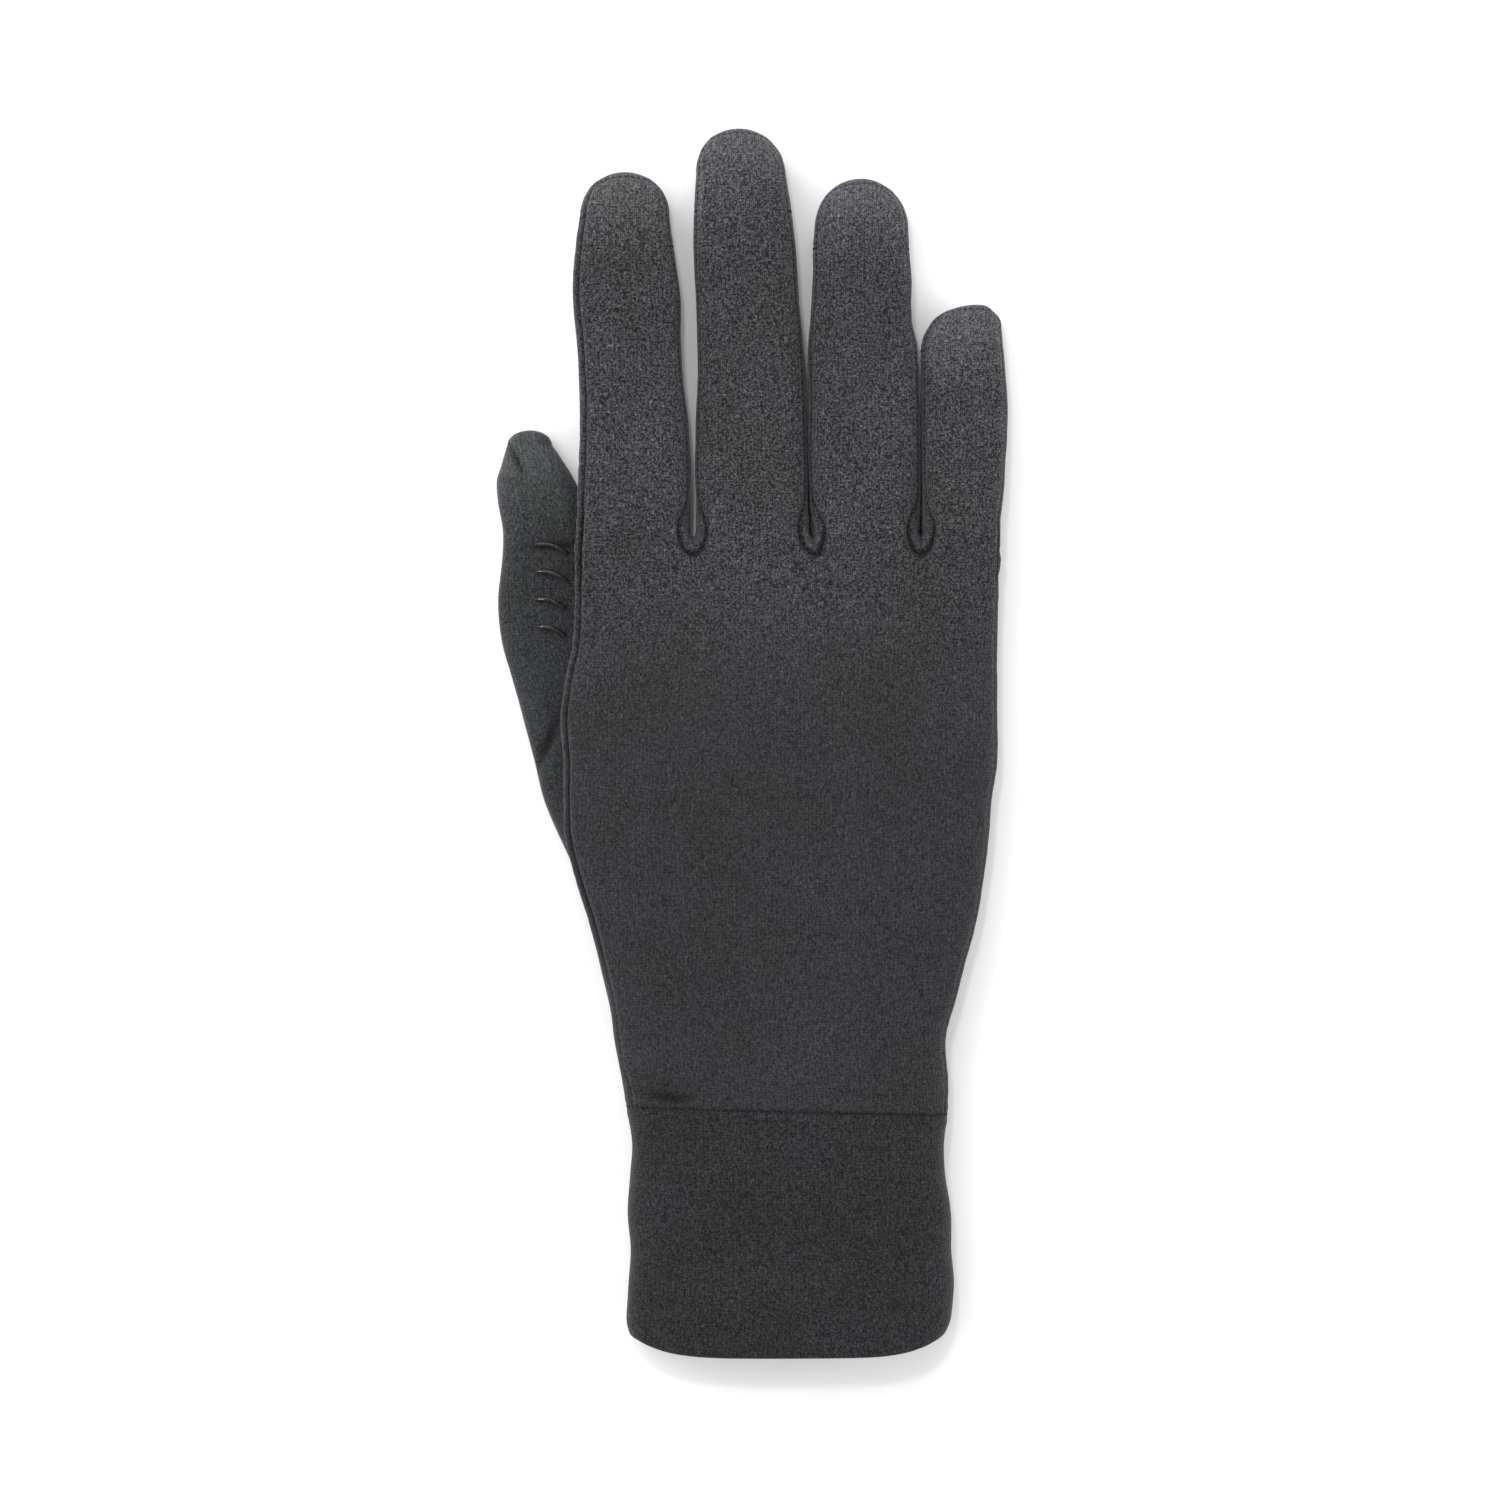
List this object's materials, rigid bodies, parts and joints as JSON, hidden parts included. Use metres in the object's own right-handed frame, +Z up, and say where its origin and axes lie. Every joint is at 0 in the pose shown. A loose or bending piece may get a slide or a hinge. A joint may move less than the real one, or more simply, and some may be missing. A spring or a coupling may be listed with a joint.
{
  "type": "sports glove",
  "caption": "Thin knit sports glove for the right hand, lying palm down with separate fingers, a tucked thumb and a doubled cuff.",
  "frame": {"origin": "centre of the lowest face of the box round the glove, on the surface that it lies on", "axes": "+Y towards the fingertips, +X towards the little finger, +Z up out of the back of the hand"},
  "size_m": [0.104, 0.25, 0.0214],
  "materials": {
    "knit_back": "fine charcoal stretch knit",
    "knit_palm": "fine charcoal stretch knit",
    "knit_fourchette": "fine charcoal stretch knit",
    "knit_cuff": "doubled, darker stretch knit",
    "knit_thumb": "fine charcoal stretch knit",
    "grip": "shiny raised grip line"
  },
  "bodies": {
    "root": {"back_panel": "knit_back", "palm_panel": "knit_palm", "fourchette_index_middle": "knit_fourchette", "fourchette_middle_ring": "knit_fourchette", "fourchette_ring_little": "knit_fourchette", "cuff": "knit_cuff", "thumb": "knit_thumb", "thumb_grip_1": "grip", "thumb_grip_2": "grip", "thumb_grip_3": "grip", "thumb_grip_4": "grip"}
  },
  "joints": []
}
